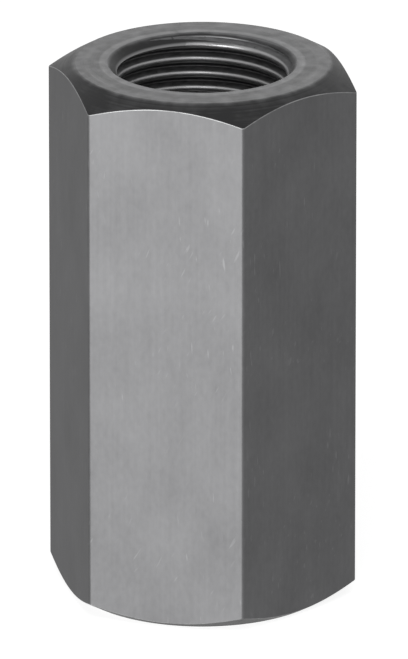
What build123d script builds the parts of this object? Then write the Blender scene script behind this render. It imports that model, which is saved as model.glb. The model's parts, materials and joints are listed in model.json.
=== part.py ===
from build123d import *

import math
import os

# A long hexagonal coupling nut, cut from drawn hexagonal bar and threaded right through, in millimetres.
# It stands on its bottom face at the origin, with its bore along +Z and two of its flats facing -Y and +Y.

# Driving dimensions.
thread_diameter = 24.0
thread_pitch = 2.0
height = 3 * thread_diameter
width_across_flats = 36.0
bar_corner_radius = 0.5
end_face_diameter = 33.4
end_chamfer_angle = 30.0
countersink_diameter = 24.6
countersink_angle = 90.0

# The hole is drilled at the thread's tapping size, the thread's diameter less its pitch.
bore_radius = (thread_diameter - thread_pitch) / 2
mouth_radius = countersink_diameter / 2
countersink_depth = (mouth_radius - bore_radius) / math.tan(math.radians(countersink_angle / 2))
end_face_radius = end_face_diameter / 2


def hexagonal_bar():
    """Length of drawn bar, with the six long corners rounded as drawing leaves them."""
    sharp_section = RegularPolygon(width_across_flats / 2, side_count=6, major_radius=False)
    section = fillet(sharp_section.vertices(), bar_corner_radius)
    return extrude(section, height)


def turned_envelope():
    """Round solid whose shallow cones leave a flat end face and cut each corner of the bar down in an arc."""
    clear_radius = width_across_flats / math.sqrt(3) + bar_corner_radius
    cone_height = (clear_radius - end_face_radius) * math.tan(math.radians(end_chamfer_angle))
    profile = Polyline(
        (0, 0),
        (end_face_radius, 0),
        (clear_radius, cone_height),
        (clear_radius, height - cone_height),
        (end_face_radius, height),
        (0, height),
        close=True,
    )
    return revolve(make_face(Plane.XZ * profile), Axis.Z)


def countersunk_bore():
    """What drilling and countersinking take away: a straight bore that opens in a cone at both ends."""
    profile = Polyline(
        (0, 0),
        (mouth_radius, 0),
        (bore_radius, countersink_depth),
        (bore_radius, height - countersink_depth),
        (mouth_radius, height),
        (0, height),
        close=True,
    )
    return revolve(make_face(Plane.XZ * profile), Axis.Z)


coupling_nut = (hexagonal_bar() & turned_envelope()) - countersunk_bore()

os.makedirs("parts", exist_ok=True)
export_step(coupling_nut, "parts/coupling_nut.step")
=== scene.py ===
import json
import math

import bmesh
import bpy
from mathutils import Matrix, Vector


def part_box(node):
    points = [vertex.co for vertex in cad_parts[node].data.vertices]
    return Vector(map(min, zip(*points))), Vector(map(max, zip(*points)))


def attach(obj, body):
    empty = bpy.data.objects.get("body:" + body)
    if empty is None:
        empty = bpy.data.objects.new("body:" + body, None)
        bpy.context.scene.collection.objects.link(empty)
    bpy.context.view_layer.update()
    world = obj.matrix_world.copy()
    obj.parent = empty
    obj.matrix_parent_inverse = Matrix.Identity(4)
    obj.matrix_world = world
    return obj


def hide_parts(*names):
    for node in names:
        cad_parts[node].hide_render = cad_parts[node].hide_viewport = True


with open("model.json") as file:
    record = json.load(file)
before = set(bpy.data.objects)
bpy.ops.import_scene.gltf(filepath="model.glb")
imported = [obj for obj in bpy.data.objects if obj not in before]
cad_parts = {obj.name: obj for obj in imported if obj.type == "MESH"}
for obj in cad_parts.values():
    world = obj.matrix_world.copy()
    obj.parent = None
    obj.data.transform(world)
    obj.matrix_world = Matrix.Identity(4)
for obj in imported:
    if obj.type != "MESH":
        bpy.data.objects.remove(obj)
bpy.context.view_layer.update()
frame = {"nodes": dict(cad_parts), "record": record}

bl_info = {
    "name": "Coupling Nut",
    "version": (1, 0, 0),
    "blender": (4, 5, 0),
    "location": "3D View > Sidebar > Coupling Nut",
    "description": "Models a tapped hexagonal coupling nut around its packed solid and lights it",
    "category": "Object",
}

MM = 0.001
NUT = "coupling_nut"
THREAD = next(mount for mount in frame["record"]["mounts"] if mount["name"] == "thread")

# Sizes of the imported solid, in metres. Two flats face -Y and +Y, and two corners lie on the X axis.
LOWEST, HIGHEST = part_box(NUT)
HEIGHT = HIGHEST.z - LOWEST.z
APOTHEM = (HIGHEST.y - LOWEST.y) / 2
CORNER_REACH = (HIGHEST.x - LOWEST.x) / 2
BORE_RADIUS = THREAD["dims"]["r_mm"] * MM
COUNTERSINK_DEPTH = (HEIGHT - THREAD["dims"]["length_mm"] * MM) / 2
MOUTH_RADIUS = BORE_RADIUS + COUNTERSINK_DEPTH
LEVEL_TOLERANCE = 0.001 * MM
END_FACE_RADIUS = max(
    vertex.co.xy.length
    for vertex in frame["nodes"][NUT].data.vertices
    if HIGHEST.z - vertex.co.z < LEVEL_TOLERANCE
)
SHARP_REACH = APOTHEM / math.cos(math.pi / 6)
CORNER_RADIUS = (SHARP_REACH - CORNER_REACH) / (1 / math.cos(math.pi / 6) - 1)

# How finely curves are divided.
FLAT_STEPS = 40
CORNER_STEPS = 6
ARC_STEPS = 4
THREAD_STEPS = 96
FILLET_STEPS = 4

# Points nearer than this are one point.
MERGE_DISTANCE = 0.01 * MM
# How far the tap stands out of each end of the nut.
TAP_OVERRUN = 0.5 * MM
# Edges sharper than this stay sharp.
SHARP_ANGLE = math.radians(40)

# How bright each finish gets at a glancing angle, and how deep its relief is.
DRAWN_SLANT, DRAWN_RELIEF = 0.65, 0.004 * MM
TURNED_SLANT, TURNED_RELIEF = 0.92, 0.012 * MM
CUT_SLANT, CUT_RELIEF = 0.6, 0.01 * MM
WORN_SLANT, WORN_RELIEF = 0.8, 0.01 * MM
# How much of the end face's pattern is missing on the cones, and how much painted shade darkens them.
CONE_PLAINNESS = 0.65
CONE_PAINTED_SHADE = 0.43

# Where the photograph, in pixels, shows the middle of the nut, and how large.
PHOTO_WIDTH = 408
PHOTO_HEIGHT = 659
NUT_MIDDLE_X = 202.3
NUT_MIDDLE_Y = 323.6
PIXELS_PER_METRE = 7660
FILM_HEIGHT = 36
SIGHT_LIMIT = 20

# Each panel's turn and rise seen from the nut, in degrees, then its distance, width and height,
# in metres.
FRONT_PANEL = (-14, 3.5, 4.0, 2.4, 0.4)
HIGH_PANEL = (20, 45, 1.0, 0.3, 0.3)
BACK_PANEL = (-168, 20, 1.0, 0.3, 0.3)

# The floor is a little short of white by itself, so that the nut's shadow still shows on it.
FLOOR_WHITE = 0.85
FLOOR_REACH = 2.0


class NutShape(bpy.types.PropertyGroup):
    """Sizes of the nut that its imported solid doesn't state."""

    chamfer_angle: bpy.props.FloatProperty(
        name="End chamfer", description="Slope of the cone turned on each end",
        default=math.radians(30), subtype="ANGLE")
    arc_rounding: bpy.props.FloatProperty(
        name="Arc rounding", description="Radius where an end cone meets the flats",
        default=0.12 * MM, unit="LENGTH")
    rim_rounding: bpy.props.FloatProperty(
        name="Rim rounding", description="Radius of the end face's outer edge",
        default=1.0 * MM, unit="LENGTH")
    mouth_rounding: bpy.props.FloatProperty(
        name="Mouth rounding", description="Radius where the countersink meets the end face",
        default=0.25 * MM, unit="LENGTH")
    thread_pitch: bpy.props.FloatProperty(
        name="Thread pitch", description="Height of one turn of the thread",
        default=2.0 * MM, unit="LENGTH")
    thread_depth: bpy.props.FloatProperty(
        name="Thread depth", description="From the drilled wall to the bottom of the groove",
        default=1.0 * MM, unit="LENGTH")
    root_width: bpy.props.FloatProperty(
        name="Root width", description="Width of the groove's bottom before its corners are rounded",
        default=0.25 * MM, unit="LENGTH")
    crest_rounding: bpy.props.FloatProperty(
        name="Crest rounding", description="Radius on the edges of the thread's crest",
        default=0.45 * MM, unit="LENGTH")
    root_rounding: bpy.props.FloatProperty(
        name="Root rounding", description="Radius in the corners of the thread's groove",
        default=0.13 * MM, unit="LENGTH")
    first_crest_depth: bpy.props.FloatProperty(
        name="First crest", description="Depth of the first crest on the wall that faces the camera",
        default=1.4 * MM, unit="LENGTH")


class SteelFinish(bpy.types.PropertyGroup):
    """Colours and sheen of the nut's steel."""

    drawn_colour: bpy.props.FloatVectorProperty(
        name="Drawn flats", description="Colour of the bar's drawn surface",
        default=(0.097, 0.097, 0.099), subtype="COLOR", min=0, max=1)
    turned_colour: bpy.props.FloatVectorProperty(
        name="Turned ends", description="Colour of the end faces. The cones are a darker shade of it",
        default=(0.077, 0.077, 0.0785), subtype="COLOR", min=0, max=1)
    thread_colour: bpy.props.FloatVectorProperty(
        name="Cut thread", description="Colour of the thread's flanks",
        default=(0.10, 0.10, 0.102), subtype="COLOR", min=0, max=1)
    # The crests' colour is partly burnish and partly a painted highlight for the light lines the crests
    # catch.
    crest_burnish_and_highlight_colour: bpy.props.FloatVectorProperty(
        name="Thread crests", description="Colour of the burnished crests of the thread",
        default=(0.29, 0.29, 0.293), subtype="COLOR", min=0, max=1)
    worn_colour: bpy.props.FloatVectorProperty(
        name="Worn edges", description="Colour where handling has burnished the edges",
        default=(0.20, 0.20, 0.202), subtype="COLOR", min=0, max=1)
    roughness: bpy.props.FloatProperty(
        name="Roughness", description="Middle roughness of the steel",
        default=0.50, min=0, max=1, subtype="FACTOR")


class StudioSettings(bpy.types.PropertyGroup):
    """Camera, lamps and floor around the nut."""

    camera_turn: bpy.props.FloatProperty(
        name="Camera turn", description="Angle of the view from straight in front of a flat, towards +X",
        default=math.radians(15.2), subtype="ANGLE")
    camera_rise: bpy.props.FloatProperty(
        name="Camera rise", description="Angle of the view above the horizon",
        default=math.radians(19.6), subtype="ANGLE")
    camera_distance: bpy.props.FloatProperty(
        name="Camera distance", description="From the camera to the nut's middle",
        default=2.0, unit="LENGTH")
    front_power: bpy.props.FloatProperty(
        name="Front panel", description="Power of the panel in front that lights the front flat",
        default=275.0, unit="POWER")
    high_power: bpy.props.FloatProperty(
        name="High panel", description="Power of the small panel above that lights the thread",
        default=2.0, unit="POWER")
    back_power: bpy.props.FloatProperty(
        name="Back panel", description="Power of the panel behind the nut that lights its end face",
        default=0.5, unit="POWER")
    room_level: bpy.props.FloatProperty(
        name="Room", description="Brightness of the room around the nut", default=0.2, min=0)
    floor_colour: bpy.props.FloatVectorProperty(
        name="Floor", description="Colour of the floor under the lamps",
        default=(0.5, 0.5, 0.5), subtype="COLOR", min=0, max=1)


class Term:
    """A number that varies over a surface. Arithmetic on it adds Math nodes to its graph."""

    def __init__(self, graph, socket):
        self.graph = graph
        self.socket = socket

    def __add__(self, other):
        return self.graph.math("ADD", self, other)

    def __sub__(self, other):
        return self.graph.math("SUBTRACT", self, other)

    def __rsub__(self, other):
        return self.graph.math("SUBTRACT", other, self)

    def __mul__(self, other):
        return self.graph.math("MULTIPLY", self, other)

    __radd__ = __add__
    __rmul__ = __mul__

    def swing(self, amount):
        """Turns noise about 0.5 into a swing about 0 of the given size."""
        return (self - 0.5) * amount

    def between(self, low, high):
        """0 at or below low, 1 at or above high, and smooth in between."""
        ranged = self.graph.node(
            "ShaderNodeMapRange",
            {"interpolation_type": "SMOOTHSTEP"},
            {"Value": self, "From Min": low, "From Max": high},
        )
        return Term(self.graph, ranged.outputs["Result"])


class Graph:
    """The node tree of one material or world."""

    def __init__(self, owner):
        owner.use_nodes = True
        self.tree = owner.node_tree
        self.tree.nodes.clear()

    def node(self, kind, settings=None, inputs=None):
        """Adds a node, gives it its settings, then the values or links of its sockets."""
        made = self.tree.nodes.new(kind)
        for name, value in (settings or {}).items():
            setattr(made, name, value)
        for name, value in (inputs or {}).items():
            if isinstance(value, Term):
                value = value.socket
            if isinstance(value, bpy.types.NodeSocket):
                self.tree.links.new(value, made.inputs[name])
            else:
                made.inputs[name].default_value = value
        return made

    def math(self, operation, *values):
        """The result of one Math node."""
        made = self.node("ShaderNodeMath", {"operation": operation}, dict(enumerate(values)))
        return Term(self, made.outputs[0])

    def scaled(self, vector, factors):
        """A vector with each of its axes stretched by its own factor."""
        made = self.node("ShaderNodeVectorMath", {"operation": "MULTIPLY"}, {0: vector, 1: factors})
        return made.outputs[0]

    def noise(self, vector, detail, seed):
        """Soft noise about 0.5, one cycle to each unit of the vector."""
        offset = (seed, seed, seed)
        moved = self.node("ShaderNodeVectorMath", {"operation": "ADD"}, {0: vector, 1: offset})
        made = self.node(
            "ShaderNodeTexNoise", None, {"Vector": moved.outputs[0], "Scale": 1.0, "Detail": detail})
        return Term(self, made.outputs["Fac"])

    def rings(self, radius, scale, detail):
        """Soft noise about 0.5 that changes only with the distance from the axis."""
        made = self.node(
            "ShaderNodeTexNoise", {"noise_dimensions": "1D"},
            {"W": radius, "Scale": scale, "Detail": detail})
        return Term(self, made.outputs["Fac"])

    def mixed(self, factor, first, second):
        """The first colour where the factor is 0, and the second where it is 1."""
        made = self.node(
            "ShaderNodeMix", {"data_type": "RGBA"}, {"Factor": factor, 6: first, 7: second})
        return made.outputs[2]

    def toned(self, colour, tone, spread):
        """A colour, darker by the spread where the tone is 0 and lighter by it where it is 1."""
        return self.mixed(tone, shade(colour, 1 - spread), shade(colour, 1 + spread))

    def millimetres(self):
        """The place on the piece, in millimetres from the middle of its bottom face."""
        coordinates = self.node("ShaderNodeTexCoord")
        return self.scaled(coordinates.outputs["Object"], (1 / MM, 1 / MM, 1 / MM))

    def distance_from_axis(self, place):
        """How far each point lies from the nut's axis, in millimetres."""
        across = self.scaled(place, (1, 1, 0))
        made = self.node("ShaderNodeVectorMath", {"operation": "LENGTH"}, {0: across})
        return Term(self, made.outputs["Value"])


def shade(colour, factor):
    """A plain colour made lighter or darker."""
    return (colour[0] * factor, colour[1] * factor, colour[2] * factor, 1.0)


def steel(graph, colour, roughness, slant, height, relief):
    """Joins a colour, a roughness and a relief into bare steel."""
    bump = graph.node(
        "ShaderNodeBump", None, {"Strength": 1.0, "Distance": relief, "Height": height})
    shader = graph.node("ShaderNodeBsdfPrincipled", None, {
        "Base Color": colour,
        "Metallic": 1.0,
        "Roughness": roughness,
        "Specular Tint": (slant, slant, slant, 1.0),
        "Normal": bump.outputs["Normal"],
    })
    graph.node("ShaderNodeOutputMaterial", None, {"Surface": shader.outputs["BSDF"]})


def scratches(graph, place, lean, seed):
    """Short fine scratches that lean from upright, gathered in a few places. 1 in a scratch."""
    turned = graph.node(
        "ShaderNodeVectorRotate", {"rotation_type": "Y_AXIS"}, {"Vector": place, "Angle": lean})
    along = graph.scaled(turned.outputs["Vector"], (2.0, 2.0, 0.35))
    marks = graph.noise(along, 1, seed)
    gathered = graph.noise(graph.scaled(place, (0.09, 0.09, 0.07)), 1, seed + 5)
    return marks.between(0.67, 0.76) * gathered.between(0.52, 0.64)


def drawn_steel(look):
    """The bar's flats: soft drawing lines, a fine grain, faint blotches and a few scratches."""
    material = bpy.data.materials.new("drawn steel")
    graph = Graph(material)
    place = graph.millimetres()
    lines = graph.noise(graph.scaled(place, (2.2, 2.2, 0.04)), 3, 3)
    grain = graph.noise(graph.scaled(place, (1.6, 1.6, 0.9)), 3, 11)
    blotches = graph.noise(graph.scaled(place, (0.14, 0.14, 0.09)), 3, 17)
    marks = scratches(graph, place, 0.08, 29) + scratches(graph, place, -0.5, 37) * 0.7
    tone = 0.5 + lines.swing(0.22) + grain.swing(0.4) + blotches.swing(0.75) + marks * 0.45
    roughness = look.roughness + blotches.swing(0.08) + grain.swing(0.06)
    height = lines * 0.3 + grain * 0.5 - marks * 0.6
    colour = graph.toned(look.drawn_colour, tone, 0.3)
    steel(graph, colour, roughness, DRAWN_SLANT, height, DRAWN_RELIEF)
    return material


def turned_steel(look):
    """Turned ends: rings round the axis, stains and dull patches, a painted highlight in a band
    beside the hole and painted shade in the band just outside it.

    The cones are plainer than the end face and darkened with painted shade, and the countersink's
    lower edge carries a painted highlight in a fainter crest colour.
    """
    material = bpy.data.materials.new("turned steel")
    graph = Graph(material)
    place = graph.millimetres()
    radius = graph.distance_from_axis(place)
    rings = graph.rings(radius, 1.1, 1.0) * 0.5 + graph.rings(radius, 4.0, 3.0) * 0.5
    patches = graph.noise(graph.scaled(place, (0.16, 0.16, 0.16)), 3, 41)
    stains = graph.noise(graph.scaled(place, (0.5, 0.5, 0.5)), 3, 47)
    bore, mouth, rim = BORE_RADIUS / MM, MOUTH_RADIUS / MM, END_FACE_RADIUS / MM
    band_edge = radius.between(mouth + 0.9, mouth + 1.3)
    beside_hole = radius.between(mouth - 0.3, mouth) - band_edge
    next_band = band_edge - radius.between(mouth + 2.2, mouth + 2.8)
    # Painted highlight beside the hole and painted shade in the next band out, standing in for how the
    # end face catches the light.
    painted_highlight_and_shade_bands = beside_hole * 0.3 - next_band * 0.15
    cone = radius.between(rim, rim + 0.5) + 1 - radius.between(mouth - 0.4, mouth - 0.1)
    figure = rings.swing(1.8) + patches.swing(2.2) + stains.swing(1.5) + painted_highlight_and_shade_bands
    plain = 1 - cone * CONE_PLAINNESS
    # The cones get painted shade: their colour is darkened to stand in for the shade they fall in.
    tone = 0.5 + figure * plain - cone * CONE_PAINTED_SHADE
    roughness = look.roughness - 0.04 + patches.swing(0.3) + rings.swing(0.3)
    # Painted highlight: the countersink's lower edge gets a fainter crest colour, standing in for the
    # bright line that the first crest would catch.
    painted_edge_highlight = 1 - radius.between(bore + 0.10, bore + 0.40)
    turned = graph.toned(look.turned_colour, tone, 0.6)
    colour = graph.mixed(painted_edge_highlight, turned, shade(look.crest_burnish_and_highlight_colour, 0.6))
    steel(graph, colour, roughness, TURNED_SLANT, rings * plain, TURNED_RELIEF)
    return material


def cut_steel(look):
    """The tapped thread: crests lighter from burnish and a painted highlight, torn flanks and specks of
    swarf.
    """
    material = bpy.data.materials.new("cut steel")
    graph = Graph(material)
    place = graph.millimetres()
    depth = graph.distance_from_axis(place) - BORE_RADIUS / MM
    tears = graph.noise(graph.scaled(place, (0.9, 0.9, 5)), 3, 7)
    crest = (1 - depth.between(0.10, 0.34)) * (0.7 + tears * 0.6)
    specks = graph.noise(graph.scaled(place, (2.2, 2.2, 2.2)), 1, 53).between(0.68, 0.75)
    flank = graph.toned(look.thread_colour, 0.5 + tears.swing(1.2) - specks * 0.5, 0.45)
    # The crests get a lighter colour: part burnish, part painted highlight.
    colour = graph.mixed(crest, flank, shade(look.crest_burnish_and_highlight_colour, 1))
    roughness = look.roughness - crest * 0.08 + tears.swing(0.2)
    steel(graph, colour, roughness, CUT_SLANT, tears - specks, CUT_RELIEF)
    return material


def worn_steel(look):
    """Rounded edges, burnished by handling and brighter where they are worn most."""
    material = bpy.data.materials.new("worn steel")
    graph = Graph(material)
    place = graph.millimetres()
    wear = graph.noise(graph.scaled(place, (0.35, 0.35, 0.12)), 3, 61)
    nicks = graph.noise(graph.scaled(place, (1.5, 1.5, 1.5)), 2, 71)
    tone = 0.5 + wear.swing(1.4) + nicks.swing(0.8)
    roughness = look.roughness + nicks.swing(0.2)
    colour = graph.toned(look.worn_colour, tone, 0.4)
    steel(graph, colour, roughness, WORN_SLANT, nicks, WORN_RELIEF)
    return material


DRAWN, TURNED, CUT, WORN = range(4)

# The finish of each band of a column, from the side up: a straight one, then those of an arc.
COLUMN_FINISHES = [DRAWN] + ARC_STEPS * [WORN] + (2 * ARC_STEPS + 3) * [TURNED]


def rounded_path(corners, steps):
    """Points of a path in a plane. corners are (place, radius), and inner ones become arcs."""
    path = [corners[0][0]]
    for (before, _), (corner, radius), (after, _) in zip(corners, corners[1:], corners[2:]):
        back = (before - corner).normalized()
        onward = (after - corner).normalized()
        half_angle = back.angle(onward) / 2
        centre = corner + (back + onward).normalized() * radius / math.sin(half_angle)
        start = (corner + back * radius / math.tan(half_angle) - centre).normalized()
        end = (corner + onward * radius / math.tan(half_angle) - centre).normalized()
        path += [centre + start.slerp(end, step / steps) * radius for step in range(steps + 1)]
    path.append(corners[-1][0])
    return path


def nut_column(shape, side_radius):
    """Outline of the nut's upper half in a plane through its axis, from the side to the hole."""
    slope = math.tan(shape.chamfer_angle)
    pit_radius = BORE_RADIUS - shape.thread_depth
    cone_foot = HEIGHT - (side_radius - END_FACE_RADIUS) * slope
    return rounded_path([
        (Vector((side_radius, HEIGHT / 2)), 0),
        (Vector((side_radius, cone_foot)), shape.arc_rounding),
        (Vector((END_FACE_RADIUS, HEIGHT)), shape.rim_rounding),
        (Vector((MOUTH_RADIUS, HEIGHT)), shape.mouth_rounding),
        (Vector((pit_radius, HEIGHT - (MOUTH_RADIUS - pit_radius))), 0),
    ], ARC_STEPS)


def bar_section(bm):
    """The bar's outline at half height: a hexagon with rounded corners and divided flats."""
    quarter_turn = Matrix.Rotation(math.pi / 2, 4, "Z")
    middle = Matrix.Translation((0, 0, HEIGHT / 2)) @ quarter_turn
    bmesh.ops.create_circle(bm, cap_ends=True, radius=SHARP_REACH, segments=6, matrix=middle)
    bmesh.ops.bevel(
        bm, geom=bm.verts[:], offset=CORNER_RADIUS * math.tan(math.pi / 6), offset_type="OFFSET",
        segments=CORNER_STEPS, profile=0.5, affect="VERTICES", material=-1)
    flats = [edge for edge in bm.edges if edge.calc_length() > APOTHEM / 2]
    bmesh.ops.subdivide_edges(bm, edges=flats, cuts=FLAT_STEPS - 1)
    bmesh.ops.delete(bm, geom=bm.faces[:], context="FACES_ONLY")


def only(kind, geometry):
    """The vertices, edges or faces in what an operator returns."""
    return [item for item in geometry if isinstance(item, kind)]


def everything(bm):
    """All of a bmesh, as its operators take it."""
    return bm.verts[:] + bm.edges[:] + bm.faces[:]


def solid_nut(shape):
    """The nut before its thread is cut, with both ends turned and countersunk."""
    bm = bmesh.new()
    bar_section(bm)
    side = bm.verts.layers.float.new("side radius")
    for vertex in bm.verts:
        vertex[side] = vertex.co.xy.length
    ring = bm.edges[:]
    for step, finish in enumerate(COLUMN_FINISHES, start=1):
        grown = bmesh.ops.extrude_edge_only(bm, edges=ring)["geom"]
        ring = only(bmesh.types.BMEdge, grown)
        for vertex in only(bmesh.types.BMVert, grown):
            radius, vertex.co.z = nut_column(shape, vertex[side])[step]
            vertex.co.xy = vertex.co.xy.normalized() * radius
        for face in only(bmesh.types.BMFace, grown):
            face.material_index = finish
    bmesh.ops.edgeloop_fill(bm, edges=ring, mat_nr=CUT)
    mirror_plane = Matrix.Translation((0, 0, -HEIGHT / 2))
    bmesh.ops.mirror(bm, geom=everything(bm), axis="Z", matrix=mirror_plane)
    bmesh.ops.remove_doubles(bm, verts=bm.verts[:], dist=MERGE_DISTANCE)
    bmesh.ops.recalc_face_normals(bm, faces=bm.faces[:])
    return finished_mesh(bm, "solid nut")


def ridge_profile(shape):
    """One pitch of the tap's outline, with the ridge that cuts the groove in its middle."""
    half_pitch = shape.thread_pitch / 2
    root_radius = BORE_RADIUS + shape.thread_depth
    half_root = shape.root_width / 2
    half_groove = half_root + shape.thread_depth * math.tan(math.pi / 6)
    return rounded_path([
        (Vector((BORE_RADIUS, -half_pitch)), 0),
        (Vector((BORE_RADIUS, -half_groove)), shape.crest_rounding),
        (Vector((root_radius, -half_root)), shape.root_rounding),
        (Vector((root_radius, half_root)), shape.root_rounding),
        (Vector((BORE_RADIUS, half_groove)), shape.crest_rounding),
        (Vector((BORE_RADIUS, half_pitch)), 0),
    ], FILLET_STEPS)


def thread_tap(shape):
    """The tap that cuts the thread: one closed solid with a helical ridge, longer than the nut."""
    far_wall = math.pi / 2 + bpy.context.scene.studio_settings.camera_turn
    crest_height = HEIGHT - shape.first_crest_depth
    turns_below = math.ceil(HEIGHT / shape.thread_pitch) + 1
    turns_to_crest = turns_below + far_wall / (2 * math.pi)
    start_height = crest_height - turns_to_crest * shape.thread_pitch + shape.thread_pitch / 2
    bm = bmesh.new()
    points = [bm.verts.new((radius, 0, start_height + rise)) for radius, rise in ridge_profile(shape)]
    lines = [bm.edges.new(pair) for pair in zip(points, points[1:])]
    # The turn climbs by one pitch, so it ends where its copy above it starts.
    bmesh.ops.spin(
        bm, geom=points + lines, cent=(0, 0, 0), axis=(0, 0, 1), angle=2 * math.pi,
        steps=THREAD_STEPS, dvec=(0, 0, shape.thread_pitch / THREAD_STEPS))
    turn = everything(bm)
    for count in range(1, turns_below + 3):
        copied = bmesh.ops.duplicate(bm, geom=turn)["geom"]
        rise = (0, 0, count * shape.thread_pitch)
        bmesh.ops.translate(bm, verts=only(bmesh.types.BMVert, copied), vec=rise)
    bmesh.ops.remove_doubles(bm, verts=bm.verts[:], dist=MERGE_DISTANCE)
    for height, outwards in ((-TAP_OVERRUN, -1), (HEIGHT + TAP_OVERRUN, 1)):
        cut = bmesh.ops.bisect_plane(
            bm, geom=everything(bm), plane_co=(0, 0, height), plane_no=(0, 0, outwards),
            clear_outer=True)["geom_cut"]
        bmesh.ops.edgeloop_fill(bm, edges=only(bmesh.types.BMEdge, cut))
    for face in bm.faces:
        face.material_index = CUT
    bmesh.ops.recalc_face_normals(bm, faces=bm.faces[:])
    return finished_mesh(bm, "thread tap")


def finished_mesh(bm, name):
    """Turns a bmesh into a smooth-shaded mesh."""
    for face in bm.faces:
        face.smooth = True
    mesh = bpy.data.meshes.new(name)
    bm.to_mesh(mesh)
    bm.free()
    return mesh


def shown(name, content):
    """An object in the scene that holds a mesh, a lamp or a camera."""
    holder = bpy.data.objects.new(name, content)
    bpy.context.scene.collection.objects.link(holder)
    return holder


def tapped(nut, tap):
    """The mesh that is left when the tap is taken out of the nut."""
    cut = nut.modifiers.new("tapping", "BOOLEAN")
    cut.operation = "DIFFERENCE"
    cut.solver = "MANIFOLD"
    cut.object = tap
    graph = bpy.context.evaluated_depsgraph_get()
    mesh = bpy.data.meshes.new_from_object(
        nut.evaluated_get(graph), preserve_all_data_layers=True, depsgraph=graph)
    bpy.data.objects.remove(nut)
    bpy.data.objects.remove(tap)
    return mesh


class MakeNut(bpy.types.Operator):
    """Model the nut with its thread and give each of its surfaces its finish"""

    bl_idname = "coupling_nut.make_nut"
    bl_label = "Make Nut"

    def execute(self, context):
        shape = context.scene.nut_shape
        look = context.scene.steel_finish
        finishes = (drawn_steel(look), turned_steel(look), cut_steel(look), worn_steel(look))
        solid = shown("solid nut", solid_nut(shape))
        tap = shown("thread tap", thread_tap(shape))
        for material in finishes:
            solid.data.materials.append(material)
            tap.data.materials.append(material)
        mesh = tapped(solid, tap)
        mesh.name = "tapped nut"
        mesh.set_sharp_from_angle(angle=SHARP_ANGLE)
        nut = shown("tapped_nut", mesh)
        weighted = nut.modifiers.new("weighted normals", "WEIGHTED_NORMAL")
        weighted.keep_sharp = True
        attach(nut, "root")
        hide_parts(NUT)
        print("nut:", len(mesh.polygons), "faces")
        return {"FINISHED"}


def white_backdrop(graph):
    """1 where the camera looks, and where metal mirrors or glass lets through what lies behind."""
    ray = graph.node("ShaderNodeLightPath")
    mirrored = Term(graph, ray.outputs["Is Glossy Ray"])
    let_through = Term(graph, ray.outputs["Is Transmission Ray"])
    return Term(graph, ray.outputs["Is Camera Ray"]) + mirrored + let_through


def studio_floor(settings):
    """A floor that looks white and keeps the nut's shadow."""
    bm = bmesh.new()
    bmesh.ops.create_grid(bm, x_segments=1, y_segments=1, size=FLOOR_REACH)
    floor = shown("floor", finished_mesh(bm, "floor"))
    material = bpy.data.materials.new("white floor")
    graph = Graph(material)
    paint = graph.node("ShaderNodeBsdfDiffuse", None, {"Color": (*settings.floor_colour, 1)})
    glow = white_backdrop(graph) * FLOOR_WHITE
    white = graph.node("ShaderNodeEmission", None, {"Strength": glow})
    both = graph.node("ShaderNodeAddShader", None, {0: paint.outputs[0], 1: white.outputs[0]})
    graph.node("ShaderNodeOutputMaterial", None, {"Surface": both.outputs[0]})
    floor.data.materials.append(material)


def studio_room(settings):
    """A dim room that is white wherever the backdrop is seen or mirrored."""
    world = bpy.data.worlds.new("room")
    bpy.context.scene.world = world
    graph = Graph(world)
    level = settings.room_level + white_backdrop(graph) * (1 - settings.room_level)
    background = graph.node(
        "ShaderNodeBackground", None, {"Color": (1, 1, 1, 1), "Strength": level})
    graph.node("ShaderNodeOutputWorld", None, {"Surface": background.outputs[0]})


def nut_middle():
    """The middle of the nut, on its axis at half height."""
    return Vector((0, 0, HEIGHT / 2))


def around(turn, rise, distance):
    """A place seen from the nut's middle. Turn 0 is in front of the -Y flat, positive towards +X."""
    direction = Vector(
        (math.sin(turn) * math.cos(rise), -math.cos(turn) * math.cos(rise), math.sin(rise)))
    return nut_middle() + distance * direction


def facing_nut(place):
    """The turn that points a lamp or camera at the nut's middle."""
    return (nut_middle() - place).to_track_quat("-Z", "Y")


def panel(name, turn, rise, distance, width, height, power):
    """A soft rectangular lamp that faces the nut's middle."""
    lamp = bpy.data.lights.new(name, "AREA")
    lamp.shape = "RECTANGLE"
    lamp.size = width
    lamp.size_y = height
    lamp.energy = power
    holder = shown(name, lamp)
    holder.location = around(math.radians(turn), math.radians(rise), distance)
    holder.rotation_euler = facing_nut(holder.location).to_euler()
    holder.visible_camera = False


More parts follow.
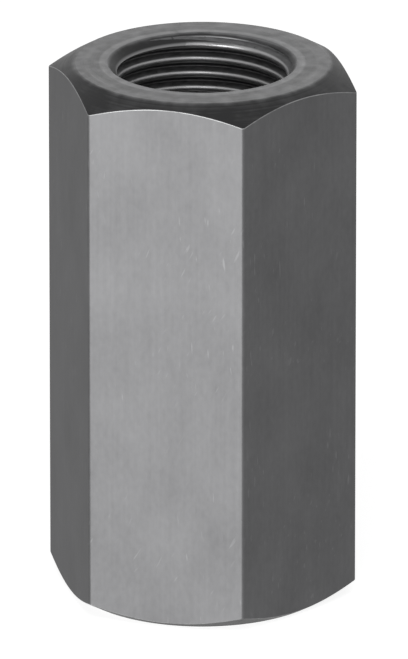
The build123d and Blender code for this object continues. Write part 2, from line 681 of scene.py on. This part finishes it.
def photo_camera(settings):
    """A camera where the photograph was taken from, framed as it is."""
    camera = bpy.data.cameras.new("camera")
    camera.sensor_width = FILM_HEIGHT
    camera.lens = PIXELS_PER_METRE * settings.camera_distance * FILM_HEIGHT / PHOTO_HEIGHT
    camera.clip_end = SIGHT_LIMIT
    holder = shown("camera", camera)
    place = around(settings.camera_turn, settings.camera_rise, settings.camera_distance)
    facing = facing_nut(place)
    aside = (PHOTO_WIDTH / 2 - NUT_MIDDLE_X) / PIXELS_PER_METRE
    down = (NUT_MIDDLE_Y - PHOTO_HEIGHT / 2) / PIXELS_PER_METRE
    holder.location = place + facing @ Vector((aside, down, 0))
    holder.rotation_euler = facing.to_euler()
    bpy.context.scene.camera = holder


class SetStage(bpy.types.Operator):
    """Set the floor, room, lamps and camera around the nut"""

    bl_idname = "coupling_nut.set_stage"
    bl_label = "Set Stage"

    def execute(self, context):
        settings = context.scene.studio_settings
        context.scene.view_settings.view_transform = "Standard"
        studio_floor(settings)
        studio_room(settings)
        panel("front panel", *FRONT_PANEL, settings.front_power)
        panel("high panel", *HIGH_PANEL, settings.high_power)
        panel("back panel", *BACK_PANEL, settings.back_power)
        photo_camera(settings)
        return {"FINISHED"}


class NutPanel(bpy.types.Panel):
    """Sizes, finish and stage of the nut"""

    bl_idname = "VIEW3D_PT_coupling_nut"
    bl_label = "Coupling Nut"
    bl_space_type = "VIEW_3D"
    bl_region_type = "UI"
    bl_category = "Coupling Nut"

    def draw(self, context):
        self.draw_group(context.scene.nut_shape)
        self.draw_group(context.scene.steel_finish)
        self.layout.operator(MakeNut.bl_idname)
        self.draw_group(context.scene.studio_settings)
        self.layout.operator(SetStage.bl_idname)

    def draw_group(self, settings):
        box = self.layout.box()
        for name in settings.bl_rna.properties.keys():
            if name not in ("rna_type", "name"):
                box.prop(settings, name)


CLASSES = (NutShape, SteelFinish, StudioSettings, MakeNut, SetStage, NutPanel)


def register():
    for cls in CLASSES:
        bpy.utils.register_class(cls)
    bpy.types.Scene.nut_shape = bpy.props.PointerProperty(type=NutShape)
    bpy.types.Scene.steel_finish = bpy.props.PointerProperty(type=SteelFinish)
    bpy.types.Scene.studio_settings = bpy.props.PointerProperty(type=StudioSettings)


def unregister():
    del bpy.types.Scene.studio_settings
    del bpy.types.Scene.steel_finish
    del bpy.types.Scene.nut_shape
    for cls in reversed(CLASSES):
        bpy.utils.unregister_class(cls)


def main():
    register()
    bpy.ops.coupling_nut.make_nut()
    bpy.ops.coupling_nut.set_stage()


if __name__ == "__main__":
    main()
